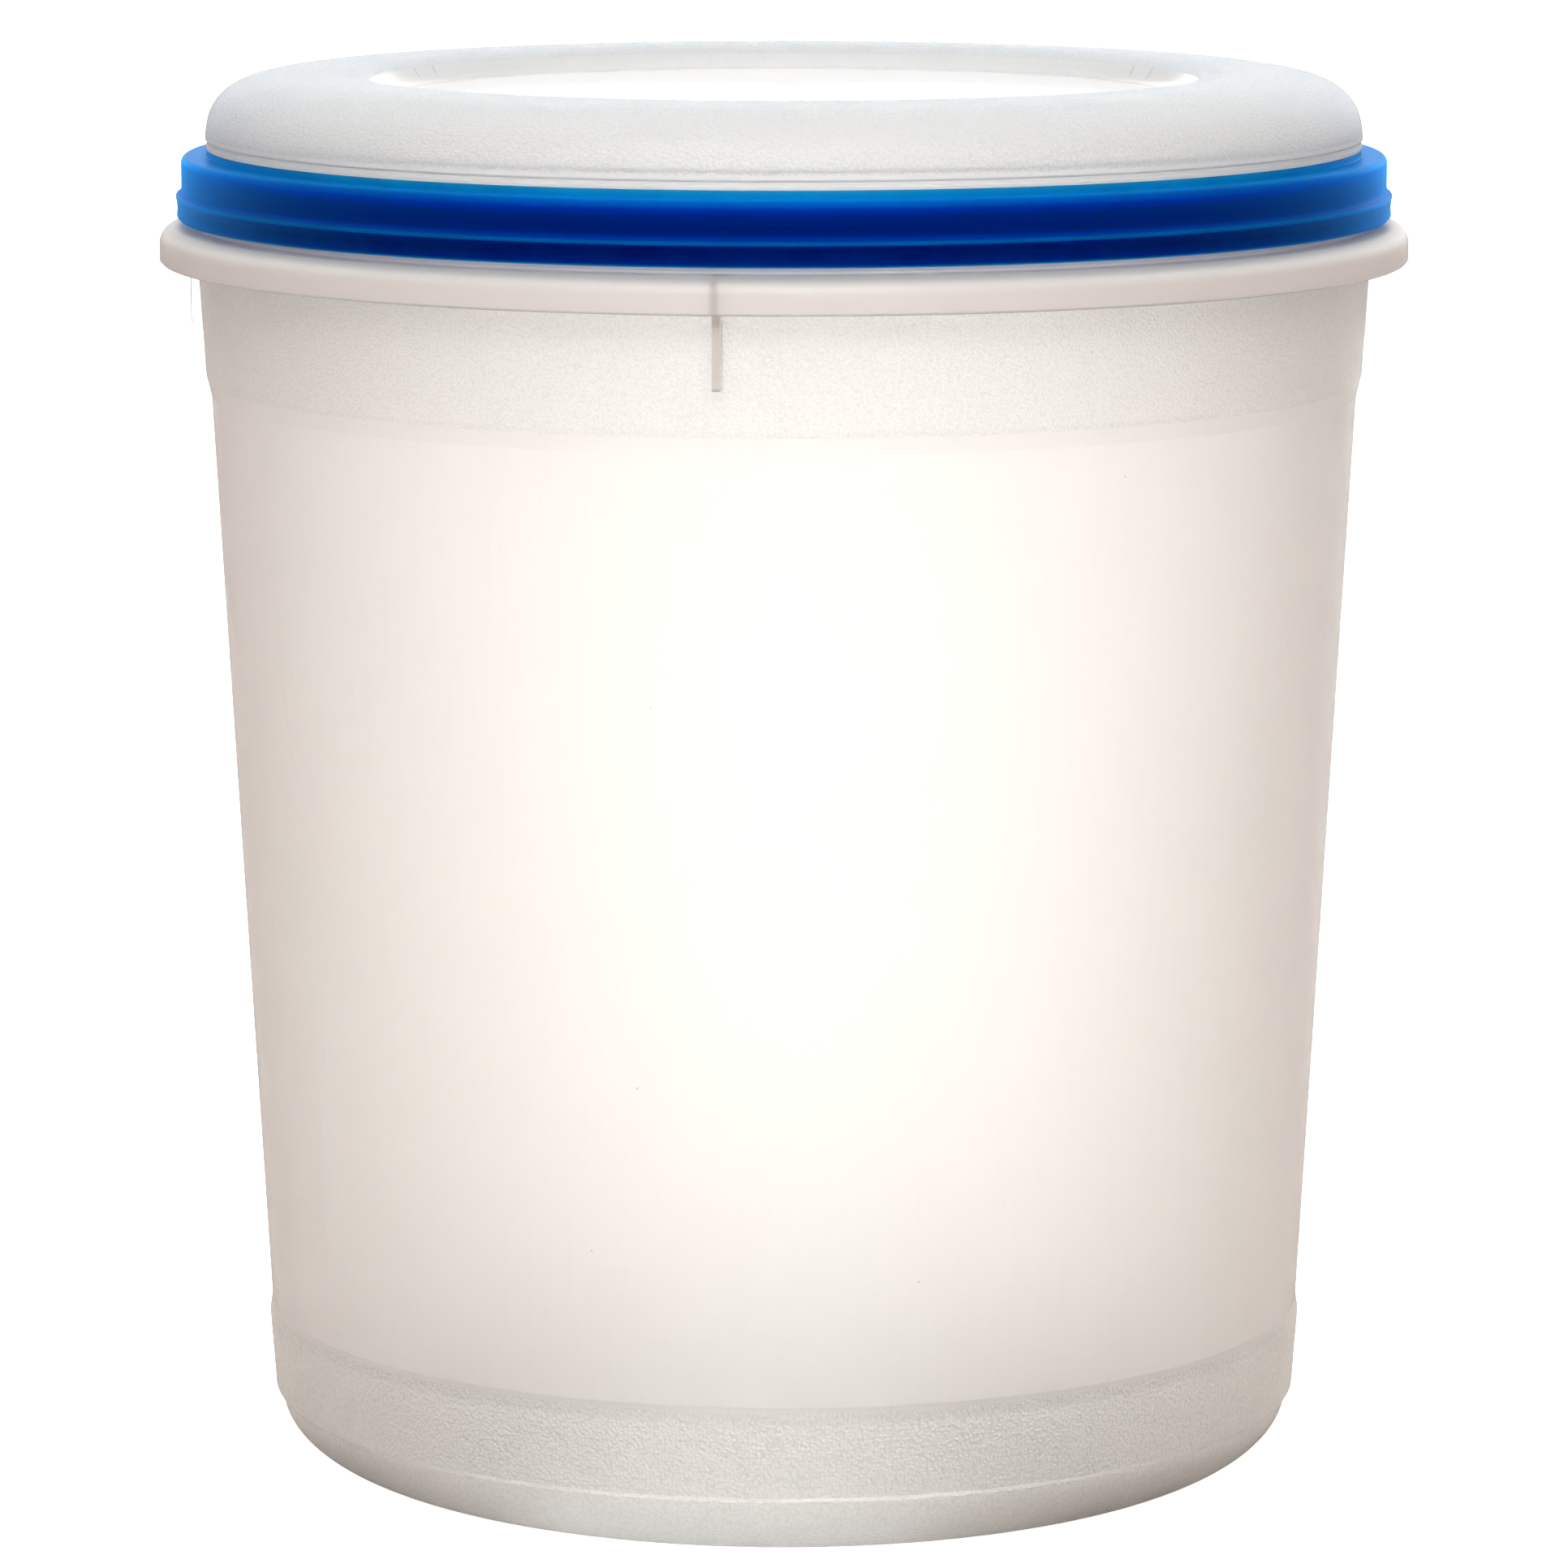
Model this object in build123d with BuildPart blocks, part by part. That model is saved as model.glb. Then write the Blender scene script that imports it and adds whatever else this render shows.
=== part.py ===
"""Round translucent storage canister with a push-on two-piece lid.

Millimetres, +Z up. The origin is on the ground plane at the centre of the base, and -Y is the front.
Every piece is turned about Z. Each section is drawn in the XZ plane as (radius, height).
"""

import os
from math import cos, pi, radians, sin

from build123d import *

# Canister: base and corner
FOOT_RADIUS = 76.0
FOOT_WIDTH = 8.0
PUSH_UP = 1.5
FLOOR = 2.0
CORNER_RISE = 12.8
CORNER_TOP_RADIUS = 98.7

# Canister: tapered side between two raised bands
WALL = 1.75
LOW_BAND_BOTTOM = 14.5
LOW_BAND_TOP = 30.3
LOW_BAND_BOTTOM_RADIUS = 100.05
LOW_BAND_TOP_RADIUS = 101.1
SIDE_BOTTOM_RADIUS = 100.55
SIDE_TOP_RADIUS = 110.5
HIGH_BAND_BOTTOM = 212.2
HIGH_BAND_BOTTOM_RADIUS = 111.3
BAND_STEP = 0.7

# Canister: flange with its skirt
RIM_RADIUS = 120.0
RIM_BOTTOM = 234.6
RIM_TOP = 241.5
RIM_ROUND = 3.4
RIM_WALL = 1.6
RIM_EDGE = 0.45

# Canister: neck inside the lid
NECK_RADIUS = 112.7
NECK_BORE_RADIUS = 110.4
NECK_TOP = 251.3
NECK_CHAMFER = 0.5
SNAP_BEAD = 0.5
SNAP_BEAD_HEIGHT = 247.0

# Canister: gussets under the flange
GUSSET_COUNT = 4
FIRST_GUSSET = -96.0  # degrees from +X: six degrees to the left of the front
GUSSET_THICKNESS = 1.45
GUSSET_RADIUS = 116.0
GUSSET_BOTTOM = 223.6
GUSSET_DROP = 2.4
GUSSET_ROUND = 1.8
GUSSET_ROOT = 1.2

# Lid ring
RING_RADIUS = 115.7
RING_LIP_RADIUS = 116.75
RING_BEAD_RADIUS = 116.6
RING_BEAD_HOLLOW = 0.12
RING_BOTTOM = 242.8
RING_EDGE = 0.6
RING_LIP_HEIGHT = 247.3
RING_LIP_THICKNESS = 0.5
RING_FLARE_TOP = 248.9
RING_TOP = 254.8
RING_WALL = 1.6
RING_DECK = 1.7
RING_ROUND = 1.3
RING_CATCH = 0.3
RING_CATCH_HEIGHT = 244.6
PLUG_RADIUS = 110.05
PLUG_BOTTOM = 245.0
PLUG_LEAD_IN = 1.0
RING_BORE_RADIUS = 108.7
UPSTAND_RADIUS = 110.75
UPSTAND_TOP = 256.15

# Clip that holds the dome in the ring
CLIP_HEIGHT = 250.8
CLIP_HALF_WIDTH = 0.7
CLIP_DEPTH = 0.6
CLIP_BITE = 0.4

# Lid seal
SEAL_INNER_RADIUS = 110.15
SEAL_OUTER_RADIUS = 112.9
SEAL_GAP = 0.1
SEAL_ROUND = 0.4

# Lid dome
DOME_WALL = 1.8
SKIRT_RADIUS = 108.5
SKIRT_WALL = 1.5
SKIRT_BOTTOM = 249.2
PLATE_RADIUS = 110.9
PLATE_TOP = 256.95
GROOVE_RADIUS = 110.2
DOME_BOTTOM = 257.65
DOME_ROUND = 0.6
DOME_RADIUS = 111.1
DOME_SPRING_LINE = 255.0
CREST_RADIUS = 87.6
CREST = 270.6
SHOULDER_POWER = 3.2  # superellipse exponent: 2 would be an ellipse
SHOULDER_POINTS = 6

# Stacking recess in the top of the dome
CROWN_ARC = 25.0
CROWN_TURN = 16.0
MOUTH_ARC = 4.0
RECESS_SLOPE = 38.0
TOE_ARC = 7.0
RECESS_FLOOR = 266.05


def make_gusset():
    """Thin upright blade that joins the wall to the underside of the flange, drawn at angle 0."""
    blade_top = RIM_TOP - RIM_WALL / 2
    root_radius = NECK_RADIUS - GUSSET_ROOT
    with BuildPart() as gusset:
        with BuildSketch(Plane.XZ) as outline:
            with BuildLine():
                Polyline(
                    (root_radius, blade_top),
                    (root_radius, GUSSET_BOTTOM - GUSSET_DROP),
                    (GUSSET_RADIUS, GUSSET_BOTTOM),
                    (GUSSET_RADIUS, blade_top),
                    close=True,
                )
            make_face()
            outer_corner = outline.vertices().group_by(Axis.X)[-1].sort_by(Axis.Y)[0]
            fillet(outer_corner, GUSSET_ROUND)
        extrude(amount=GUSSET_THICKNESS / 2, both=True)
    return gusset


def make_canister():
    """One moulding: base, corner, tapered side with two raised bands, flange, gussets and neck."""
    floor_top = PUSH_UP + FLOOR
    flange_bottom = RIM_TOP - RIM_WALL
    rim_centre = (RIM_RADIUS - RIM_ROUND, RIM_TOP - RIM_ROUND)
    skirt_bore = RIM_RADIUS - RIM_WALL
    taper = (SIDE_TOP_RADIUS - SIDE_BOTTOM_RADIUS) / (HIGH_BAND_BOTTOM - LOW_BAND_TOP)
    bore_at_corner = SIDE_BOTTOM_RADIUS - WALL - taper * (LOW_BAND_TOP - CORNER_RISE)
    bore_at_rim = SIDE_TOP_RADIUS - WALL + taper * (RIM_BOTTOM - HIGH_BAND_BOTTOM)
    gusset = make_gusset()

    with BuildPart() as canister:
        with BuildSketch(Plane.XZ):
            with BuildLine():
                Polyline(
                    (0, floor_top),
                    (0, PUSH_UP),
                    (FOOT_RADIUS - FOOT_WIDTH - PUSH_UP, PUSH_UP),
                    (FOOT_RADIUS - FOOT_WIDTH, 0),
                    (FOOT_RADIUS, 0),
                )
                EllipticalCenterArc(
                    center=(FOOT_RADIUS, CORNER_RISE),
                    x_radius=CORNER_TOP_RADIUS - FOOT_RADIUS,
                    y_radius=CORNER_RISE,
                    start_angle=-90,
                    arc_size=90,
                )
                Polyline(
                    (CORNER_TOP_RADIUS, CORNER_RISE),
                    (LOW_BAND_BOTTOM_RADIUS, LOW_BAND_BOTTOM),
                    (LOW_BAND_TOP_RADIUS, LOW_BAND_TOP),
                    (SIDE_BOTTOM_RADIUS, LOW_BAND_TOP + BAND_STEP),
                    (SIDE_TOP_RADIUS, HIGH_BAND_BOTTOM - BAND_STEP),
                    (HIGH_BAND_BOTTOM_RADIUS, HIGH_BAND_BOTTOM),
                    (NECK_RADIUS, RIM_BOTTOM),
                    (NECK_RADIUS, flange_bottom),
                    (rim_centre[0], flange_bottom),
                )
                CenterArc(rim_centre, RIM_ROUND - RIM_WALL, 0, 90)
                Polyline(
                    (skirt_bore, rim_centre[1]),
                    (skirt_bore, RIM_BOTTOM),
                    (RIM_RADIUS - RIM_EDGE, RIM_BOTTOM),
                    (RIM_RADIUS, RIM_BOTTOM + RIM_EDGE),
                    (RIM_RADIUS, rim_centre[1]),
                )
                CenterArc(rim_centre, RIM_ROUND, 0, 90)
                Polyline(
                    (rim_centre[0], RIM_TOP),
                    (NECK_RADIUS, RIM_TOP),
                    (NECK_RADIUS, SNAP_BEAD_HEIGHT - 2 * SNAP_BEAD),
                    (NECK_RADIUS + SNAP_BEAD, SNAP_BEAD_HEIGHT),
                    (NECK_RADIUS, SNAP_BEAD_HEIGHT + 2 * SNAP_BEAD),
                    (NECK_RADIUS, NECK_TOP - NECK_CHAMFER),
                    (NECK_RADIUS - NECK_CHAMFER, NECK_TOP),
                    (NECK_BORE_RADIUS + NECK_CHAMFER, NECK_TOP),
                    (NECK_BORE_RADIUS, NECK_TOP - NECK_CHAMFER),
                    (NECK_BORE_RADIUS, RIM_TOP),
                    (bore_at_rim, RIM_BOTTOM),
                    (bore_at_corner, CORNER_RISE),
                )
                EllipticalCenterArc(
                    center=(FOOT_RADIUS, CORNER_RISE),
                    x_radius=bore_at_corner - FOOT_RADIUS,
                    y_radius=CORNER_RISE - floor_top,
                    start_angle=-90,
                    arc_size=90,
                )
                Line((FOOT_RADIUS, floor_top), (0, floor_top))
            make_face()
        revolve(axis=Axis.Z)
        with PolarLocations(0, GUSSET_COUNT, start_angle=FIRST_GUSSET):
            add(gusset.part)
    return canister


def make_lid_ring():
    """Soft snap ring: outer skirt with lip and bead, deck, inner plug, and upstand for the dome."""
    bore = RING_RADIUS - RING_WALL
    deck_bottom = RING_TOP - RING_DECK
    clip_bore = RING_BORE_RADIUS + CLIP_DEPTH
    lip_bottom = RING_LIP_HEIGHT - RING_LIP_THICKNESS
    bead_bottom = RING_BOTTOM + RING_EDGE
    round_centre = (RING_RADIUS - RING_ROUND, RING_TOP - RING_ROUND)

    with BuildPart() as lid_ring:
        with BuildSketch(Plane.XZ):
            with BuildLine():
                Polyline(
                    (bore, RING_BOTTOM),
                    (RING_BEAD_RADIUS - RING_EDGE, RING_BOTTOM),
                    (RING_BEAD_RADIUS, bead_bottom),
                )
                ThreePointArc(
                    (RING_BEAD_RADIUS, bead_bottom),
                    (RING_BEAD_RADIUS - RING_BEAD_HOLLOW, (bead_bottom + lip_bottom) / 2),
                    (RING_LIP_RADIUS, lip_bottom),
                )
                Line((RING_LIP_RADIUS, lip_bottom), (RING_LIP_RADIUS, RING_LIP_HEIGHT))
                ThreePointArc(
                    (RING_LIP_RADIUS, RING_LIP_HEIGHT),
                    (0.7 * RING_RADIUS + 0.3 * RING_LIP_RADIUS, 0.6 * RING_LIP_HEIGHT + 0.4 * RING_FLARE_TOP),
                    (RING_RADIUS, RING_FLARE_TOP),
                )
                Line((RING_RADIUS, RING_FLARE_TOP), (RING_RADIUS, round_centre[1]))
                CenterArc(round_centre, RING_ROUND, 0, 90)
                Polyline(
                    (round_centre[0], RING_TOP),
                    (UPSTAND_RADIUS, RING_TOP),
                    (UPSTAND_RADIUS, UPSTAND_TOP),
                    (RING_BORE_RADIUS, UPSTAND_TOP),
                    (RING_BORE_RADIUS, CLIP_HEIGHT + CLIP_HALF_WIDTH + CLIP_DEPTH),
                    (clip_bore, CLIP_HEIGHT + CLIP_HALF_WIDTH),
                    (clip_bore, CLIP_HEIGHT - CLIP_HALF_WIDTH),
                    (RING_BORE_RADIUS, CLIP_HEIGHT - CLIP_HALF_WIDTH - CLIP_DEPTH),
                    (RING_BORE_RADIUS, PLUG_BOTTOM),
                    (PLUG_RADIUS - PLUG_LEAD_IN / 2, PLUG_BOTTOM),
                    (PLUG_RADIUS, PLUG_BOTTOM + PLUG_LEAD_IN),
                    (PLUG_RADIUS, deck_bottom),
                    (bore, deck_bottom),
                    (bore, RING_CATCH_HEIGHT + 2 * RING_CATCH),
                    (bore - RING_CATCH, RING_CATCH_HEIGHT),
                    (bore, RING_CATCH_HEIGHT - 2 * RING_CATCH),
                    (bore, RING_BOTTOM),
                )
            make_face()
        revolve(axis=Axis.Z)
    return lid_ring


def make_lid_seal():
    """Square-section sealing ring under the deck, over the top edge of the neck."""
    seal_bottom = NECK_TOP + SEAL_GAP
    with BuildPart() as lid_seal:
        with BuildSketch(Plane.XY.offset(seal_bottom)):
            Circle(SEAL_OUTER_RADIUS)
            Circle(SEAL_INNER_RADIUS, mode=Mode.SUBTRACT)
        extrude(amount=RING_TOP - RING_DECK - seal_bottom)
        lower_edges = lid_seal.edges().group_by(Axis.Z)[0]
        fillet(lower_edges, SEAL_ROUND)
    return lid_seal


def shoulder_points(inset):
    """Points from the side of the dome to its crest, on a superellipse, inset by a wall thickness."""
    width = DOME_RADIUS - inset - CREST_RADIUS
    rise = CREST - inset - DOME_SPRING_LINE
    points = []
    for step in range(1, SHOULDER_POINTS):
        angle = step * pi / 2 / SHOULDER_POINTS
        reach = width * cos(angle) ** (2 / SHOULDER_POWER)
        height = rise * sin(angle) ** (2 / SHOULDER_POWER)
        points.append((CREST_RADIUS + reach, DOME_SPRING_LINE + height))
    points.append((CREST_RADIUS, CREST - inset))
    return points


def recess_line(inset):
    """Crown, rounded mouth, slope and rounded toe of the recess, then its floor, inset by a thickness."""
    floor_height = RECESS_FLOOR - inset
    toe_arc = TOE_ARC + inset
    slope = radians(RECESS_SLOPE)
    crown = JernArc((CREST_RADIUS, CREST - inset), (-1, 0), CROWN_ARC - inset, CROWN_TURN)
    mouth = JernArc(crown @ 1, crown % 1, MOUTH_ARC - inset, RECESS_SLOPE - CROWN_TURN)
    drop = (mouth @ 1).Y - floor_height - toe_arc * (1 - cos(slope))
    incline = Line(mouth @ 1, (mouth @ 1) + (mouth % 1) * (drop / sin(slope)))
    toe = JernArc(incline @ 1, incline % 1, toe_arc, -RECESS_SLOPE)
    Line(toe @ 1, (0, floor_height))


def make_lid_dome():
    """Thin domed cap: clip skirt, seat plate, shadow groove, shoulder, crown and stacking recess."""
    skirt_bore = SKIRT_RADIUS - SKIRT_WALL
    clip_radius = SKIRT_RADIUS + CLIP_BITE
    clip_half_width = CLIP_HALF_WIDTH - CLIP_DEPTH + CLIP_BITE
    round_centre = (DOME_RADIUS - DOME_ROUND, DOME_BOTTOM + DOME_ROUND)
    seat_top = DOME_BOTTOM + DOME_WALL
    inner_start = (DOME_RADIUS - DOME_WALL, seat_top)
    outer_points = shoulder_points(0)
    inner_points = shoulder_points(DOME_WALL)

    with BuildPart() as lid_dome:
        with BuildSketch(Plane.XZ):
            with BuildLine():
                Polyline(
                    (skirt_bore, DOME_BOTTOM),
                    (skirt_bore, SKIRT_BOTTOM),
                    (SKIRT_RADIUS - CLIP_BITE, SKIRT_BOTTOM),
                    (SKIRT_RADIUS, SKIRT_BOTTOM + CLIP_BITE),
                    (SKIRT_RADIUS, CLIP_HEIGHT - clip_half_width - CLIP_BITE),
                    (clip_radius, CLIP_HEIGHT - clip_half_width),
                    (clip_radius, CLIP_HEIGHT + clip_half_width),
                    (SKIRT_RADIUS, CLIP_HEIGHT + clip_half_width + CLIP_BITE),
                    (SKIRT_RADIUS, UPSTAND_TOP),
                    (PLATE_RADIUS, UPSTAND_TOP),
                    (PLATE_RADIUS, PLATE_TOP),
                    (GROOVE_RADIUS, PLATE_TOP),
                    (GROOVE_RADIUS, DOME_BOTTOM),
                    (round_centre[0], DOME_BOTTOM),
                )
                CenterArc(round_centre, DOME_ROUND, -90, 90)
                Spline(
                    (DOME_RADIUS, round_centre[1]),
                    *outer_points,
                    tangents=[(0, 1), (-1, 0)],
                )
                recess_line(0)
                Line((0, RECESS_FLOOR), (0, RECESS_FLOOR - DOME_WALL))
                recess_line(DOME_WALL)
                Spline(
                    inner_start,
                    *inner_points,
                    tangents=[(0, 1), (-1, 0)],
                )
                Polyline(inner_start, (skirt_bore, seat_top), (skirt_bore, DOME_BOTTOM))
            make_face()
        revolve(axis=Axis.Z)
    return lid_dome


os.makedirs("parts", exist_ok=True)

canister = make_canister()
canister.part.label = "canister"
export_step(canister.part, "parts/canister.step")

lid_ring = make_lid_ring()
lid_ring.part.label = "lid_ring"
export_step(lid_ring.part, "parts/lid_ring.step")

lid_seal = make_lid_seal()
lid_seal.part.label = "lid_seal"
export_step(lid_seal.part, "parts/lid_seal.step")

lid_dome = make_lid_dome()
lid_dome.part.label = "lid_dome"
export_step(lid_dome.part, "parts/lid_dome.step")
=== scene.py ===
"""Looks of a translucent storage canister with a blue-rimmed push-on lid.

Metres in Blender, and millimetres in the outlines below, which are sections through the axis as
(radius, height above the ground, corner radius). They repeat the CAD sections with their small moulded
radii added. The frame's boxes give the axis and the ground.
"""

from math import cos, pi, radians, sin

import bmesh
import bpy
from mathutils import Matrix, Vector


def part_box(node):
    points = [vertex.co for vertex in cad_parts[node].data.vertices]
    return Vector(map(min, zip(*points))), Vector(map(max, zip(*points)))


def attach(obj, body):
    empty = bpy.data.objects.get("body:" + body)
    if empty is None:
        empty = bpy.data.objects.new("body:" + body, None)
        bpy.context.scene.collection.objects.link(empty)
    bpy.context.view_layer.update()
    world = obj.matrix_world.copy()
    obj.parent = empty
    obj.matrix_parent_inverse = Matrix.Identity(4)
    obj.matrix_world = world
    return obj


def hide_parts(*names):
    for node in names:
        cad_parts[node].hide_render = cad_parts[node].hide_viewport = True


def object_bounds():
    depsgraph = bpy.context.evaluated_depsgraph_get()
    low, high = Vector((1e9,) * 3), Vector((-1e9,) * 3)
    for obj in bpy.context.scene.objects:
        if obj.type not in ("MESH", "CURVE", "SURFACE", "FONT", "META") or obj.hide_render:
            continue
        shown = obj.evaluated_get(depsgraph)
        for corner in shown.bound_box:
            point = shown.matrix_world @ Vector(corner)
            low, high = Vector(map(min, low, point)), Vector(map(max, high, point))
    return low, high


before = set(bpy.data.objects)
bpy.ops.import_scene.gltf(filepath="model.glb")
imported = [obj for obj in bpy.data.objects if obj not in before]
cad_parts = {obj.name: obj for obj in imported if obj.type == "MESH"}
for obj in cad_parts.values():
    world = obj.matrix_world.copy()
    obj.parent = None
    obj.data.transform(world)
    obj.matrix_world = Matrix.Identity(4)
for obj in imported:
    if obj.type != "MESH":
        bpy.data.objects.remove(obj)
cad_low, cad_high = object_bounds()

MM = 0.001
TURN_STEPS = 480  # faces round the axis
SAME_POINT = 0.004  # points of an outline closer than this, in millimetres, are one
canister_low, canister_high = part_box("canister")
AXIS = Vector(((canister_low.x + canister_high.x) / 2, (canister_low.y + canister_high.y) / 2, cad_low.z))

# ---------------------------------------------------------------- outlines


def arc(centre_r, centre_z, radius_r, radius_z, start, sweep, steps):
    """Points along an ellipse in the section, angles in degrees from the outward direction."""
    points = []
    for step in range(steps + 1):
        angle = radians(start + sweep * step / steps)
        points.append((centre_r + radius_r * cos(angle), centre_z + radius_z * sin(angle), 0))
    return points


def rounded(path, steps=4):
    """The closed path with every corner that has a radius turned into an arc."""
    result = []
    for index, (r, z, radius) in enumerate(path):
        corner = Vector((r, z))
        if not radius:
            result.append(corner)
            continue
        before = Vector(path[index - 1][:2]) - corner
        after = Vector(path[(index + 1) % len(path)][:2]) - corner
        half = before.angle(after) / 2
        reach = min(radius * cos(half) / sin(half), 0.49 * before.length, 0.49 * after.length)
        first = corner + before.normalized() * reach
        last = corner + after.normalized() * reach
        middle = (before.normalized() + after.normalized()).normalized()
        centre = corner + middle * (reach / cos(half))
        start = first - centre
        turn = start.angle_signed(last - centre)
        for step in range(steps + 1):
            angle = -turn * step / steps
            result.append(centre + Vector((start.x * cos(angle) - start.y * sin(angle),
                                           start.x * sin(angle) + start.y * cos(angle))))
    return result


def lathe(name, path, finish=None):
    """A closed ring or cup turned about the axis, with normals that keep long faces flat up to their rounds.

    finish(middle, normal) gives the material index of the faces that a side of the section makes.
    """
    points = []
    for point in rounded(path):
        if not points or (point - points[-1]).length > SAME_POINT:
            points.append(point)
    if (points[0] - points[-1]).length <= SAME_POINT:
        points.pop()
    normals = []
    count = len(points)
    for index, point in enumerate(points):
        before = point - points[index - 1]
        after = points[(index + 1) % count] - point
        total = Vector((0.0, 0.0))
        for side in (before, after):
            total += Vector((side.y, -side.x))
        normals.append(total.normalized())
    mesh = bpy.data.meshes.new(name)
    vertices, faces, finishes, vertex_normals, rings = [], [], [], [], []
    for point, normal in zip(points, normals):
        if point.x < 0.001:
            rings.append([len(vertices)])
            vertices.append(AXIS + Vector((0, 0, point.y * MM)))
            vertex_normals.append(Vector((0, 0, 1 if normal.y > 0 else -1)))
            continue
        rings.append(list(range(len(vertices), len(vertices) + TURN_STEPS)))
        for step in range(TURN_STEPS):
            angle = 2 * pi * step / TURN_STEPS
            outward = Vector((cos(angle), sin(angle), 0))
            vertices.append(AXIS + outward * (point.x * MM) + Vector((0, 0, point.y * MM)))
            vertex_normals.append(outward * normal.x + Vector((0, 0, normal.y)))
    for index, ring in enumerate(rings):
        following = rings[(index + 1) % count]
        if len(ring) == 1 and len(following) == 1:
            continue
        side = points[(index + 1) % count] - points[index]
        middle = points[index] + side / 2
        look = finish(middle, Vector((side.y, -side.x)).normalized()) if finish else 0
        finishes += [look] * TURN_STEPS
        for step in range(TURN_STEPS):
            onward = (step + 1) % TURN_STEPS
            if len(ring) == 1:
                faces.append((ring[0], following[onward], following[step]))
            elif len(following) == 1:
                faces.append((ring[step], ring[onward], following[0]))
            else:
                faces.append((ring[step], ring[onward], following[onward], following[step]))
    mesh.from_pydata(vertices, [], faces)
    mesh.polygons.foreach_set("use_smooth", [True] * len(mesh.polygons))
    mesh.polygons.foreach_set("material_index", finishes)
    mesh.normals_split_custom_set_from_vertices(vertex_normals)
    piece = bpy.data.objects.new(name, mesh)
    bpy.context.scene.collection.objects.link(piece)
    return piece


# ---------------------------------------------------------------- canister

FOOT = 75.0
CORNER_RISE = 12.8
WALL = 1.75
SIDE_BOTTOM, SIDE_BOTTOM_RADIUS = 30.3, 100.55
SIDE_TOP, SIDE_TOP_RADIUS = 212.2, 110.5
RIM_BOTTOM, RIM_TOP = 234.6, 241.5
NECK_RADIUS, NECK_BORE = 112.7, 110.4
TAPER = (SIDE_TOP_RADIUS - SIDE_BOTTOM_RADIUS) / (SIDE_TOP - SIDE_BOTTOM)
INNER_CORNER = SIDE_BOTTOM_RADIUS - WALL - TAPER * (SIDE_BOTTOM - CORNER_RISE)
INNER_RIM = SIDE_TOP_RADIUS - WALL + TAPER * (RIM_BOTTOM - SIDE_TOP)

canister_path = [
    (0, 3.5, 0),
    (0, 1.5, 0),
    (66.5, 1.5, 1.0),
    (68.0, 0, 0.8),
    (FOOT, 0, 0),
    *arc(76, CORNER_RISE, 98.7 - 76, CORNER_RISE, -90, 90, 28)[:-1],
    (98.85, 13.35, 0.7),
    (100.02, 14.2, 0.45),
    (101.08, 28.6, 1.5),
    (100.76, 30.6, 0),
    (100.6, 31.6, 1.5),
    (110.36, 208.8, 2.0),
    (111.13, 211.9, 0),
    (111.4, 213.0, 2.0),
    (NECK_RADIUS, RIM_BOTTOM, 0.3),
    (NECK_RADIUS, 239.9, 0.4),
    (116.6, 239.9, 0),
    *arc(116.6, 238.1, 1.8, 1.8, 75, -75, 5),
    (118.4, RIM_BOTTOM, 0.35),
    (119.55, RIM_BOTTOM, 0.15),
    (120.0, 235.05, 0.2),
    *arc(116.6, 238.1, 3.4, 3.4, 0, 90, 14),
    (NECK_RADIUS, RIM_TOP, 0.5),
    (NECK_RADIUS, 246.0, 0.3),
    (113.2, 247.0, 0.3),
    (NECK_RADIUS, 248.0, 0.3),
    (NECK_RADIUS, 250.8, 0.2),
    (112.2, 251.3, 0.2),
    (110.9, 251.3, 0.2),
    (NECK_BORE, 250.8, 0.2),
    (NECK_BORE, RIM_TOP, 2.0),
    (INNER_RIM, RIM_BOTTOM, 2.0),
    (INNER_CORNER, CORNER_RISE, 0),
    *arc(76, CORNER_RISE, INNER_CORNER - 76, CORNER_RISE - 3.5, 0, -90, 24)[1:],
]
LOW_GRAIN_TOP, HIGH_GRAIN_BOTTOM = 30.4, 210.9
PLAIN, GRAINED, FINE_GRAINED, RIM, BLADE_EDGE, BLADE_SIDE = range(6)


def canister_finish(middle, normal):
    """A dense rim and neck, and outside, coarse grain up to the low band and fine grain on the high band."""
    if middle.x > 113 or middle.y > 241.3:
        return RIM
    outside = normal.x > 0.08
    if outside and middle.y < LOW_GRAIN_TOP:
        return GRAINED
    return FINE_GRAINED if outside and HIGH_GRAIN_BOTTOM < middle.y < RIM_BOTTOM else PLAIN


canister = lathe("canister_moulding", canister_path, canister_finish)

GUSSET_ANGLES = (-96, -6, 84, 174)
GUSSET_THICKNESS = 1.45
BLADE_ROOT, BLADE_REACH = 111.3, 116.0
BLADE_BOTTOM, BLADE_TOP = 220.7, 240.6


def add_gussets(piece):
    """Thin upright blades under the flange, each with a rounded lower outer corner."""
    blade = [(BLADE_ROOT, BLADE_TOP, 0), (BLADE_ROOT, BLADE_BOTTOM, 0),
             (BLADE_REACH, BLADE_BOTTOM, 0.9), (BLADE_REACH, BLADE_TOP, 0)]
    outline = rounded(blade, 8)
    mesh = bmesh.new()
    mesh.from_mesh(piece.data)
    for turn in GUSSET_ANGLES:
        angle = radians(turn)
        outward, sideways = Vector((cos(angle), sin(angle), 0)), Vector((-sin(angle), cos(angle), 0))
        sides = []
        for half in (-GUSSET_THICKNESS / 2, GUSSET_THICKNESS / 2):
            corners = []
            for point in outline:
                place = AXIS + outward * (point.x * MM) + sideways * (half * MM)
                corners.append(mesh.verts.new(place + Vector((0, 0, point.y * MM))))
            sides.append(corners)
        left, right = sides
        for corners in (left, list(reversed(right))):
            mesh.faces.new(corners).material_index = BLADE_SIDE
        for index in range(len(outline)):
            following = (index + 1) % len(outline)
            edge = mesh.faces.new((left[following], left[index], right[index], right[following]))
            edge.material_index = BLADE_EDGE
    mesh.to_mesh(piece.data)
    mesh.free()


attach(canister, "container")
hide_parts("canister")

# ---------------------------------------------------------------- lid ring

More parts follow.
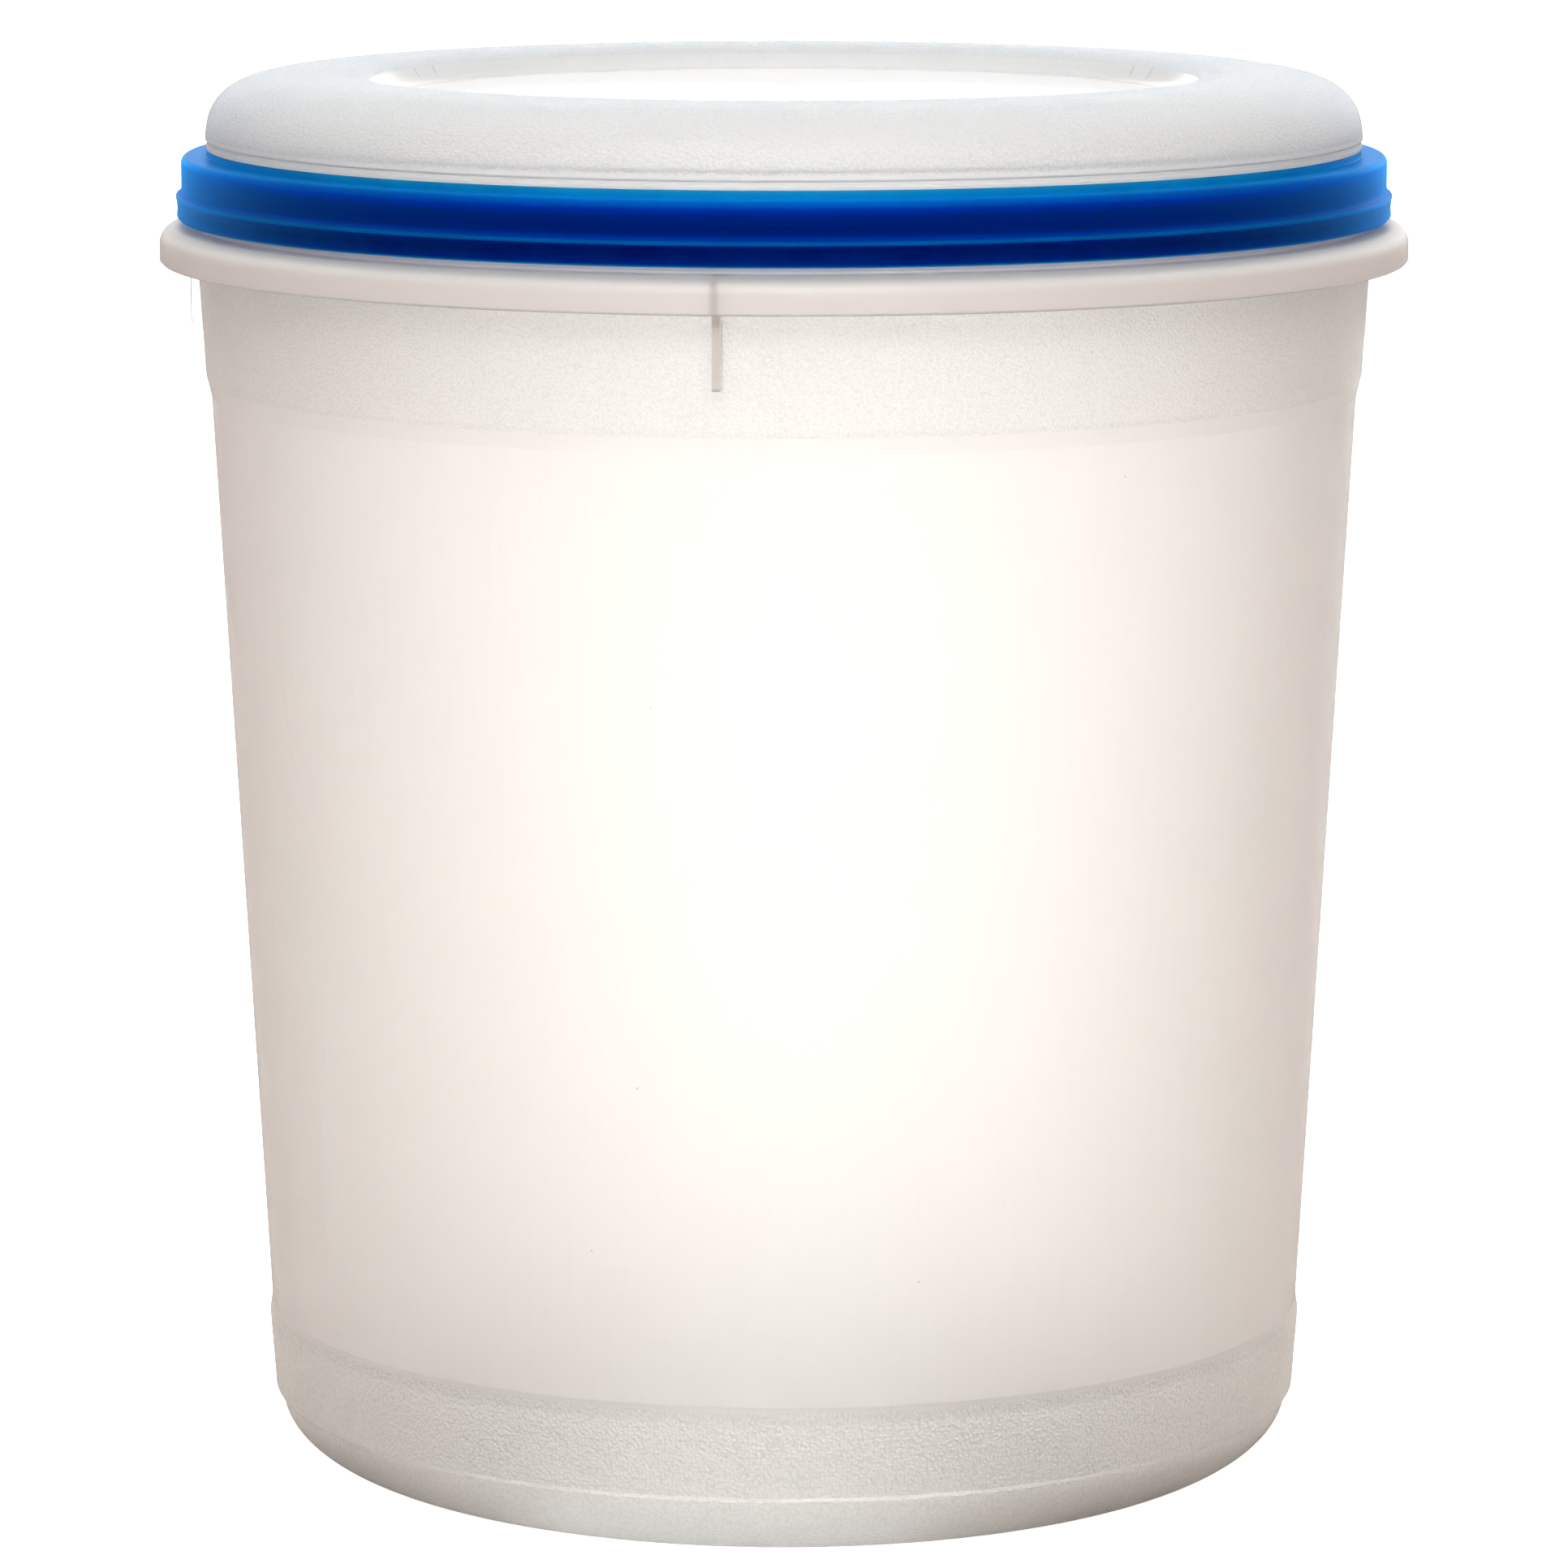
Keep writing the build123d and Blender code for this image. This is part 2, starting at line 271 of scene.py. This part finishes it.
ring_path = [
    (114.1, 242.8, 0.25),
    (116.0, 242.8, 0.3),
    (116.6, 243.4, 0.3),
    (116.48, 245.0, 0),
    (116.6, 246.3, 0),
    (116.75, 246.8, 0.1),
    (116.75, 247.3, 0.15),
    *arc(117.6, 248.9, 1.9, 1.75, 238, -58, 8)[1:],
    *arc(114.4, 253.5, 1.3, 1.3, 0, 90, 10),
    (110.75, 254.8, 0.35),
    (110.75, 256.1, 0.3),
    (108.7, 256.1, 0.2),
    (108.7, 252.1, 0.1),
    (109.3, 251.5, 0.1),
    (109.3, 250.1, 0.1),
    (108.7, 249.5, 0.1),
    (108.7, 245.0, 0.3),
    (109.55, 245.0, 0.2),
    (110.05, 246.0, 0.2),
    (110.05, 253.1, 0.2),
    (114.1, 253.1, 0.3),
    (114.1, 245.2, 0.1),
    (113.8, 244.6, 0.1),
    (114.1, 244.0, 0.1),
]
ring = lathe("lid_ring_moulding", ring_path)
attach(ring, "lid")
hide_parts("lid_ring")

# ---------------------------------------------------------------- seal

SEAL_BORE, SEAL_RADIUS = 110.2, 112.85
SEAL_BOTTOM, SEAL_TOP = 251.4, 253.05
seal = lathe("seal_moulding", [(SEAL_BORE, SEAL_BOTTOM, 0.4), (SEAL_RADIUS, SEAL_BOTTOM, 0.4),
                               (SEAL_RADIUS, SEAL_TOP, 0.2), (SEAL_BORE, SEAL_TOP, 0.2)])
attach(seal, "lid")
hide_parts("lid_seal")

# ---------------------------------------------------------------- dome

DOME_RADIUS = 111.1
SPRING_LINE = 255.0
CREST_RADIUS = 87.6
CREST = 270.6
DOME_WALL = 1.8
SHOULDER_POWER = 3.2
RECESS_FLOOR = 266.05
CROWN_ARC, CROWN_TURN = 25.0, 16.0
MOUTH_ARC, RECESS_SLOPE = 4.0, 38.0
TOE_ARC = 7.0


def shoulder(inset, start, steps):
    """The side of the dome from a height up to its crest: a superellipse, inset by a wall thickness."""
    width = DOME_RADIUS - inset - CREST_RADIUS
    rise = CREST - inset - SPRING_LINE
    lowest = (start - SPRING_LINE) / rise
    points = []
    for step in range(steps + 1):
        turn = pi / 2 * step / steps
        height = max(sin(turn) ** (2 / SHOULDER_POWER), lowest)
        reach = (1 - height ** SHOULDER_POWER) ** (1 / SHOULDER_POWER) if height < 1 else 0.0
        if points and abs(SPRING_LINE + rise * height - points[-1][1]) < 0.01:
            continue
        points.append((CREST_RADIUS + width * reach, SPRING_LINE + rise * height, 0))
    return points


def turned(start, heading, radius, sweep, steps):
    """Points on an arc that turns by the sweep, left if positive, without its start; and the new heading."""
    points, place = [], Vector(start)
    sign = 1 if sweep > 0 else -1
    centre = place + Vector((-sin(radians(heading)), cos(radians(heading)))) * radius * sign
    spoke = place - centre
    for step in range(1, steps + 1):
        angle = radians(sweep * step / steps)
        points.append(centre + Vector((spoke.x * cos(angle) - spoke.y * sin(angle),
                                       spoke.x * sin(angle) + spoke.y * cos(angle))))
    return points, heading + sweep


def recess(inset):
    """Crown, mouth, slope and toe of the stacking recess, from the crest inwards to the floor's edge."""
    floor_height = RECESS_FLOOR - inset
    toe = TOE_ARC + inset
    points, heading = turned((CREST_RADIUS, CREST - inset), 180, CROWN_ARC - inset, CROWN_TURN, 8)
    more, heading = turned(points[-1], heading, MOUTH_ARC - inset, RECESS_SLOPE - CROWN_TURN, 8)
    points += more
    drop = points[-1].y - floor_height - toe * (1 - cos(radians(RECESS_SLOPE)))
    down_slope = Vector((cos(radians(heading)), sin(radians(heading))))
    points.append(points[-1] + down_slope * drop / sin(radians(RECESS_SLOPE)))
    more, heading = turned(points[-1], heading, toe, -RECESS_SLOPE, 10)
    points += more
    return [(point.x, point.y, 0) for point in points]


outer = shoulder(0, 258.25, 60) + recess(0)
inner = shoulder(DOME_WALL, 259.6, 60) + recess(DOME_WALL)
dome_path = [
    (107.0, 249.2, 0.3),
    (108.1, 249.2, 0.2),
    (108.5, 249.6, 0.2),
    (108.5, 250.1, 0.1),
    (108.9, 250.5, 0.1),
    (108.9, 251.1, 0.1),
    (108.5, 251.5, 0.1),
    (108.5, 256.18, 0.1),
    (110.9, 256.18, 0.15),
    (110.9, 257.0, 0.15),
    (110.55, 257.0, 0.1),
    (110.55, 257.65, 0.1),
    *arc(110.5, 258.25, 0.6, 0.6, -85, 75, 6),
    *outer,
    (0, RECESS_FLOOR, 0),
    (0, RECESS_FLOOR - DOME_WALL, 0),
    *reversed(inner),
    (109.2, 259.45, 0),
    (107.0, 259.45, 1.0),
]
SLOPE, FLOOR = 2, 3
MOUTH_RADIUS = 79.2


def dome_finish(middle, normal):
    """Grained over the shoulder and crown, smooth in the recess with a glossy floor, and plain inside."""
    outside = middle.y > 258.6 and (normal.y > 0.02 or normal.x > 0.02)
    if not outside:
        return PLAIN
    if middle.x < MOUTH_RADIUS and middle.y < RECESS_FLOOR + 0.02:
        return FLOOR
    return GRAINED if middle.x > MOUTH_RADIUS else SLOPE


dome = lathe("dome_moulding", dome_path, dome_finish)
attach(dome, "lid")
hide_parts("lid_dome")

# ---------------------------------------------------------------- materials

WALL_GIRTH = 0.105  # the radius, in metres, at which the wall is unrolled
FLECK_SPACING = 0.014


class Graph:
    """The node tree of a material or a world, built call by call."""

    def __init__(self, owner):
        self.owner = owner
        owner.use_nodes = True
        self.tree = owner.node_tree
        self.tree.nodes.clear()

    def add(self, kind, inputs=(), **settings):
        node = self.tree.nodes.new(kind)
        for key, value in settings.items():
            setattr(node, key, value)
        for key, value in dict(inputs).items():
            if isinstance(value, bpy.types.NodeSocket):
                self.tree.links.new(value, node.inputs[key])
            else:
                node.inputs[key].default_value = value
        return node

    def math(self, operation, *values):
        return self.add("ShaderNodeMath", dict(enumerate(values)), operation=operation).outputs[0]

    def ramp(self, value, low, high, to_low=0.0, to_high=1.0):
        """A smooth step from to_low where value is low, to to_high where it is high."""
        inputs = {"Value": value, "From Min": low, "From Max": high, "To Min": to_low, "To Max": to_high}
        return self.add("ShaderNodeMapRange", inputs, interpolation_type="SMOOTHSTEP").outputs[0]

    def noise(self, vector, scale, detail=2.0, roughness=0.5):
        inputs = {"Vector": vector, "Scale": scale, "Detail": detail, "Roughness": roughness}
        return self.add("ShaderNodeTexNoise", inputs).outputs[0]

    def around(self, split, girth, lift):
        """A point at the same bearing on a circle of radius girth, raised by lift."""
        flat = self.add("ShaderNodeCombineXYZ", {"X": split.outputs["X"], "Y": split.outputs["Y"]}).outputs[0]
        flat = self.add("ShaderNodeVectorMath", {0: flat}, operation="NORMALIZE").outputs[0]
        rise = self.add("ShaderNodeCombineXYZ", {"Z": lift}).outputs[0]
        inputs = {0: flat, 1: (girth, girth, 0), 2: rise}
        return self.add("ShaderNodeVectorMath", inputs, operation="MULTIPLY_ADD").outputs[0]

    def stroke(self, unrolled, start, end, bow, width):
        """1 along a bowed line on the unrolled wall, thinning to nothing at its ends."""
        first, last = (Vector((radians(turn) * WALL_GIRTH, height * MM, 0))
                       for turn, height in (start, end))
        run = last - first
        aside = Vector((-run.y, run.x, 0)).normalized()
        offset = self.add("ShaderNodeVectorMath", {0: unrolled, 1: first}, operation="SUBTRACT").outputs[0]
        inputs = {0: offset, 1: run / run.length_squared}
        part = self.add("ShaderNodeVectorMath", inputs, operation="DOT_PRODUCT").outputs["Value"]
        inputs = {0: offset, 1: aside}
        distance = self.add("ShaderNodeVectorMath", inputs, operation="DOT_PRODUCT").outputs["Value"]
        hump = self.math("MULTIPLY", part, self.math("SUBTRACT", 1.0, part))
        bend = self.math("MULTIPLY", hump, 4 * bow * MM)
        distance = self.math("ABSOLUTE", self.math("SUBTRACT", distance, bend))
        ends = self.math("MULTIPLY", self.ramp(part, 0.0, 0.2), self.ramp(part, 0.8, 1.0, 1.0, 0.0))
        return self.math("MULTIPLY", ends, self.ramp(distance, 0.0, width * MM, 1.0, 0.0))

    def mix(self, factor, first, second):
        """The first colour at factor 0, and the second at factor 1."""
        node = self.add("ShaderNodeMix", data_type="RGBA")
        for index, value in ((0, factor), (6, first), (7, second)):
            if isinstance(value, bpy.types.NodeSocket):
                self.tree.links.new(value, node.inputs[index])
            else:
                node.inputs[index].default_value = value
        return node.outputs[2]


def natural_pp(name, transmission, roughness, tint, grain_pitch=None, grain_depth=0.0, groove_shade=0.86,
               drawn=0.97, coat=0.0, coat_roughness=0.05, shades=(), marks=(), sheen=0.0,
               sheen_tint=(1, 1, 1, 1)):
    """Natural polypropylene: milky, faintly streaked along the draw, and pebbled where the mould was grained.

    tint is two colours that the milkiness drifts between. Each shade is two heights in metres, and a colour
    that the tint is multiplied by towards the second of them. Each mark is a faint line: two ends, as degrees
    from the front and a height in millimetres, its bow and width in millimetres, and what the tint is
    multiplied by. grain_pitch and grain_depth are in metres; the groove factor darkens the grain's grooves
    as painted shade, and drawn darkens streaks.
    """
    graph = Graph(bpy.data.materials.new(name))
    place = graph.add("ShaderNodeTexCoord").outputs["Object"]
    split = graph.add("ShaderNodeSeparateXYZ", {"Vector": place})
    height = split.outputs["Z"]
    along = graph.around(split, WALL_GIRTH, graph.math("MULTIPLY", height, 0.03))
    turn = graph.math("ARCTAN2", split.outputs["X"], graph.math("MULTIPLY", split.outputs["Y"], -1.0))
    across = graph.math("MULTIPLY", turn, WALL_GIRTH)
    unrolled = graph.add("ShaderNodeCombineXYZ", {"X": across, "Y": height}).outputs[0]
    streak = graph.noise(along, 900.0, 3.0, 0.7)
    cloud = graph.noise(place, 22.0, 3.0, 0.55)
    colour = graph.mix(graph.ramp(cloud, 0.35, 0.65), tint[0], tint[1])
    colour = graph.mix(graph.ramp(streak, 0.45, 0.75), colour, scaled(tint[1], (drawn, drawn, drawn)))
    flecks = graph.add("ShaderNodeTexVoronoi", {"Vector": place, "Scale": 1 / FLECK_SPACING})
    fleck = graph.ramp(flecks.outputs["Distance"], 0.011, 0.019, 1.0, 0.0)
    colour = graph.mix(fleck, colour, scaled(tint[0], (0.6, 0.56, 0.5)))
    relief = graph.math("MULTIPLY", streak, 0.000008)
    if grain_pitch:
        inputs = {"Vector": place, "Scale": 1 / grain_pitch, "Smoothness": 0.4, "Randomness": 0.8}
        cells = graph.add("ShaderNodeTexVoronoi", inputs, feature="SMOOTH_F1")
        distance = cells.outputs["Distance"]
        rough = graph.math("MULTIPLY", graph.noise(place, 1.6 / grain_pitch, 2.0, 0.6), 0.15)
        grain = graph.math("SUBTRACT", rough, distance)
        relief = graph.math("ADD", relief, graph.math("MULTIPLY", grain, grain_depth))
        # Painted shade in the grooves between the grain's pebbles.
        colour = graph.mix(graph.ramp(distance, 0.3, 0.75), colour, scaled(tint[0], (groove_shade, groove_shade, groove_shade)))
    for first, last, deep in shades:
        colour = graph.mix(graph.ramp(height, first, last), colour, scaled(tint[0], deep))
    for start, end, bow, width, factor in marks:
        mark = graph.stroke(unrolled, start, end, bow, width)
        colour = graph.mix(mark, colour, scaled(tint[0], (factor,) * 3))
    bump = graph.add("ShaderNodeBump", {"Height": relief, "Distance": 1.0, "Strength": 1.0}).outputs[0]
    shine = graph.add("ShaderNodeBsdfPrincipled", {
        "Base Color": colour, "Roughness": roughness, "Transmission Weight": transmission, "IOR": 1.49,
        "Coat Weight": coat, "Coat Roughness": coat_roughness, "Sheen Weight": sheen,
        "Sheen Tint": sheen_tint, "Normal": bump, "Coat Normal": bump})
    graph.add("ShaderNodeOutputMaterial", {"Surface": shine.outputs[0]})
    return graph.owner


def scaled(colour, factors):
    """The colour times a factor for each channel, and never above 1."""
    return tuple(min(channel * factor, 1.0) for channel, factor in zip(colour[:3], factors)) + (1,)


WALL_MARKS = (
    ((-60.5, 182), (-53.5, 119), -5.5, 0.4, 0.93),
    ((64.2, 176.5), (56.9, 162), 2.0, 0.4, 0.91),
    ((58.7, 144.1), (57.2, 138.6), 0.3, 0.35, 0.92),
    ((-57.2, 118), (-58.4, 32), 0.3, 1.1, 1.06),
    ((-55.7, 116), (-57.0, 40), 0.2, 0.7, 1.05),
)
# Two pairs of faint dark lines on the recess slope, one pair to either side.
RECESS_DARK_LINES = tuple(((side * turn, 269.8), (side * (turn - 2.6), 266.8), 0.2, 0.5, 0.72)
                   for side in (-1, 1) for turn in (120, 114.5))
# Marks take bearings from the front. The gussets are a quarter turn apart, so the same four numbers hold. On
# the rim these marks are painted shade where the gussets show through it.
GUSSET_SHADOW_MARKS = tuple(((turn, 243.2), (turn, 233.2), 0.0, 1.1, 0.72) for turn in GUSSET_ANGLES)
WARM = ((0.985, 0.962, 0.94, 1), (0.975, 0.962, 0.935, 1))
PALE_WARM = ((0.967, 0.97, 0.938, 1), (0.96, 0.966, 0.93, 1))
COOL = ((0.965, 0.97, 0.955, 1), (0.955, 0.965, 0.95, 1))
# Painted shade: a greyer copy of the dome's tint for the recess slope.
RECESS_SHADE = ((0.9, 0.9, 0.895, 1), (0.89, 0.895, 0.89, 1))
# Painted shade: a darker, beige copy of the milky tint for the blades' edge faces.
BLADE_EDGE_SHADE = ((0.8, 0.76, 0.705, 1), (0.78, 0.745, 0.69, 1))
CLEAR = ((0.99, 0.985, 0.975, 1), (0.985, 0.985, 0.975, 1))
# Painted shadow under the lid ring: the rim darkens up its round onto the deck, and the neck above is as dark.
DECK_PAINTED_SHADOW = (0.2399, 0.2413, (0.69, 0.71, 0.71))
SKIRT_SHADE = (0.2405, 0.2385, (0.88, 0.86, 0.85))
# Painted shade: a thin dark line along the skirt's bottom edge, where it turns under.
HEM_PAINTED_SHADE = (0.2349, 0.2347, (0.55, 0.62, 0.66))
# Painted shade: the grained dome darkens from its foot up to the crown.
CROWN_PAINTED_SHADE = (0.2585, 0.2695, (0.87, 0.87, 0.87))
for look in (natural_pp("natural_pp_look", 0.86, 0.5, WARM, marks=WALL_MARKS),
             natural_pp("natural_pp_grained_look", 0.86, 0.5, PALE_WARM, 0.0007, 0.00025,
                        coat=0.3, coat_roughness=0.3),
             natural_pp("natural_pp_fine_grained_look", 0.86, 0.5, PALE_WARM, 0.0005, 0.00014,
                        coat=0.3, coat_roughness=0.3),
             natural_pp("natural_pp_rim_look", 0.72, 0.5, WARM, shades=(DECK_PAINTED_SHADOW, SKIRT_SHADE, HEM_PAINTED_SHADE),
                        marks=GUSSET_SHADOW_MARKS),
             natural_pp("natural_pp_blade_edge_look", 0.6, 0.45, BLADE_EDGE_SHADE),
             natural_pp("natural_pp_blade_side_look", 0.97, 0.12, CLEAR)):
    canister.data.materials.append(look)
add_gussets(canister)
DOME_BODY = (0.8, 0.55, COOL)  # transmission, roughness and tint
for look in (natural_pp("natural_pp_dome_look", *DOME_BODY),
             natural_pp("natural_pp_dome_grained_look", *DOME_BODY, 0.0006, 0.00014, groove_shade=0.88,
                        shades=(CROWN_PAINTED_SHADE,), sheen=0.12, sheen_tint=(0.15, 0.5, 1.0, 1)),
             natural_pp("natural_pp_dome_slope_look", 0.8, 0.5, RECESS_SHADE, coat=0.35, coat_roughness=0.08,
                        marks=RECESS_DARK_LINES),
             natural_pp("natural_pp_dome_floor_look", *DOME_BODY, coat=1.0, coat_roughness=0.04, sheen=0.6)):
    dome.data.materials.append(look)


def blue_pe():
    """Blue polyethylene, coloured by height: azure at the thin top, partly painted light, and deep blue down
    its thick skirt.
    """
    graph = Graph(bpy.data.materials.new("blue_pe_look"))
    place = graph.add("ShaderNodeTexCoord").outputs["Object"]
    height = graph.add("ShaderNodeSeparateXYZ", {"Vector": place}).outputs["Z"]
    # Colours by height in millimetres. The bright stops at the bottom edge and along the lip are painted
    # highlights, and the lighter top is partly painted light.
    stops = ((242.8, (0.05, 0.75, 1.0)), (243.05, (0.0, 0.3, 0.85)), (243.3, (0.0, 0.02, 0.36)),
             (245.2, (0.0, 0.009, 0.19)), (246.3, (0.0, 0.016, 0.36)), (246.7, (0.0, 0.05, 0.6)),
             (246.9, (0.0, 0.6, 1.0)), (247.3, (0.0, 0.55, 1.0)), (247.6, (0.0, 0.16, 0.8)),
             (248.5, (0.0, 0.07, 0.46)), (250.0, (0.0, 0.06, 0.46)), (252.0, (0.0, 0.1, 0.6)),
             (253.4, (0.0, 0.13, 0.72)), (254.3, (0.0, 0.25, 0.85)), (254.9, (0.0, 0.4, 0.92)),
             (256.2, (0.02, 0.5, 0.95)))
    low, high = stops[0][0], stops[-1][0]
    share = graph.add("ShaderNodeMapRange", {"Value": height, "From Min": low * MM, "From Max": high * MM})
    ramp = graph.add("ShaderNodeValToRGB", {"Fac": share.outputs[0]})
    elements = ramp.color_ramp.elements
    while len(elements) < len(stops):
        elements.new(0.5)
    for element, (stop, colour) in zip(elements, stops):
        element.position = (stop - low) / (high - low)
        element.color = (*colour, 1)
    haze = graph.noise(place, 60.0, 3.0, 0.6)
    colour = graph.mix(graph.ramp(haze, 0.3, 0.7, 0.0, 0.2), ramp.outputs[0], (0.0, 0.1, 0.5, 1))
    relief = graph.add("ShaderNodeBump", {"Height": graph.noise(place, 700.0, 2.0), "Distance": 0.00001})
    body = graph.add("ShaderNodeBsdfPrincipled", {
        "Base Color": colour, "Roughness": 0.4, "Transmission Weight": 0.93, "IOR": 1.07,
        "Specular Tint": (0.1, 0.4, 1.0, 1), "Sheen Weight": 0.7, "Sheen Roughness": 0.4,
        "Sheen Tint": (0.0, 0.42, 1.0, 1), "Normal": relief.outputs[0]})
    graph.add("ShaderNodeOutputMaterial", {"Surface": body.outputs[0]})
    return graph.owner


ring.data.materials.append(blue_pe())

graph = Graph(bpy.data.materials.new("seal_rubber_look"))
place = graph.add("ShaderNodeTexCoord").outputs["Object"]
bloom = graph.ramp(graph.noise(place, 90.0, 3.0), 0.35, 0.65)
bloom = graph.mix(bloom, (0.5, 0.5, 0.48, 1), (0.46, 0.46, 0.45, 1))
relief = graph.add("ShaderNodeBump", {"Height": graph.noise(place, 1500.0), "Distance": 0.00002})
grey = graph.add("ShaderNodeBsdfPrincipled", {"Base Color": bloom, "Roughness": 0.6,
                                              "Normal": relief.outputs[0]})
graph.add("ShaderNodeOutputMaterial", {"Surface": grey.outputs[0]})
seal.data.materials.append(graph.owner)

# ---------------------------------------------------------------- studio

# The part is lit through from behind. To the camera the floor and the room are plain pale, and to the part
# they are bright behind it, and darker and warmer at its sides and in front.
FLOOR_HALF = 40.0
BACKLIGHT = Vector((0.14, 0.9902, 0))  # the bearing of the bright field
PALE = (0.92, 0.92, 0.92, 1)
SIDE_FLOOR, FRONT_FLOOR = (0.5, 0.43, 0.395, 1), (0.2, 0.18, 0.17, 1)
SIDE_ROOM, BACK_ROOM = (0.46, 0.405, 0.38, 1), (1.3, 1.3, 1.32, 1)
PANEL, CEILING = (3.0, 3.0, 3.0, 1), (0.9, 0.89, 0.88, 1)
WHITE = (1, 1, 1, 1)
mesh = bpy.data.meshes.new("floor")
corners = [(x * FLOOR_HALF, y * FLOOR_HALF, AXIS.z) for x, y in ((-1, -1), (1, -1), (1, 1), (-1, 1))]
mesh.from_pydata(corners, [], [(0, 1, 2, 3)])
floor = bpy.data.objects.new("floor", mesh)
bpy.context.scene.collection.objects.link(floor)
graph = Graph(bpy.data.materials.new("floor_look"))
seen = graph.add("ShaderNodeLightPath").outputs["Is Camera Ray"]
place = graph.add("ShaderNodeTexCoord").outputs["Object"]
depth = graph.add("ShaderNodeSeparateXYZ", {"Vector": place}).outputs["Y"]
outward = graph.add("ShaderNodeVectorMath", {0: place}, operation="NORMALIZE").outputs[0]
bearing = graph.add("ShaderNodeVectorMath", {0: outward, 1: BACKLIGHT}, operation="DOT_PRODUCT")
bearing = graph.math("ABSOLUTE", bearing.outputs["Value"])
away = graph.add("ShaderNodeVectorMath", {0: place}, operation="LENGTH").outputs["Value"]
ahead = graph.mix(graph.ramp(bearing, 0.86, 0.98), SIDE_FLOOR, PALE)
bounce = graph.mix(graph.ramp(depth, -1.0, -0.35), FRONT_FLOOR, ahead)
# Round the base the floor glows faintly to the part's rays: a painted pool of light that lifts the part's
# foot.
near = graph.math("MULTIPLY", graph.ramp(away, 0.1, 0.2, 0.32, 0.0), graph.ramp(bearing, 0.6, 0.95))
glow = graph.ramp(seen, 0.0, 1.0, near, 0.85)
matt = graph.add("ShaderNodeBsdfPrincipled", {
    "Base Color": graph.mix(seen, bounce, PALE), "Roughness": 0.9,
    "Emission Color": WHITE, "Emission Strength": glow})
graph.add("ShaderNodeOutputMaterial", {"Surface": matt.outputs[0]})
mesh.materials.append(graph.owner)

world = bpy.data.worlds.new("studio")
bpy.context.scene.world = world
graph = Graph(world)
direction = graph.add("ShaderNodeTexCoord").outputs["Generated"]
rise = graph.add("ShaderNodeSeparateXYZ", {"Vector": direction}).outputs["Z"]
facing = graph.add("ShaderNodeVectorMath", {0: direction, 1: BACKLIGHT}, operation="DOT_PRODUCT")
facing = facing.outputs["Value"]
behind = graph.ramp(facing, 0.78, 0.97)
light = graph.mix(behind, SIDE_ROOM, BACK_ROOM)
panel = graph.math("MULTIPLY", graph.ramp(facing, 0.88, 0.93), graph.ramp(rise, 0.02, 0.05))
panel = graph.math("MULTIPLY", panel, graph.ramp(rise, 0.3, 0.4, 1.0, 0.0))
light = graph.mix(panel, light, PANEL)
overhead = graph.ramp(rise, 0.15, 0.5)
light = graph.mix(overhead, light, CEILING)
seen = graph.add("ShaderNodeLightPath").outputs["Is Camera Ray"]
light = graph.mix(seen, light, WHITE)
sky = graph.add("ShaderNodeBackground", {"Color": light})
graph.add("ShaderNodeOutputWorld", {"Surface": sky.outputs[0]})


def softbox(name, place, target, width, height, power, mirrored=True):
    """A plain soft light that faces the target; mirrored is whether reflections and refractions show it."""
    lamp = bpy.data.lights.new(name, "AREA")
    lamp.shape = "RECTANGLE"
    lamp.size, lamp.size_y = width, height
    lamp.energy = power
    holder = bpy.data.objects.new(name, lamp)
    holder.location = AXIS + Vector(place)
    holder.rotation_euler = (Vector(target) - Vector(place)).to_track_quat("-Z", "Y").to_euler()
    holder.visible_glossy = mirrored
    holder.visible_transmission = mirrored
    bpy.context.scene.collection.objects.link(holder)


softbox("softbox_floor", (0.08, 1.2, 2.4), (0.08, 1.1, 0), 1.2, 1.6, 70, False)
softbox("softbox_front", (0, -2.4, 1.9), (0, 0, 0.2), 2.0, 1.0, 65)

bpy.context.scene.view_settings.view_transform = "Standard"

CAMERA_PLACE = Vector((0, -1.42678, 0.36168))
CAMERA_DOWN = 9.1608  # degrees below level
camera_data = bpy.data.cameras.new("camera")
camera_data.sensor_width = 36
camera_data.lens = 170.1
camera_data.clip_end = 200
camera = bpy.data.objects.new("camera", camera_data)
camera.location = AXIS + CAMERA_PLACE
camera.rotation_euler = (radians(90 - CAMERA_DOWN), 0, 0)
bpy.context.scene.collection.objects.link(camera)
bpy.context.scene.camera = camera
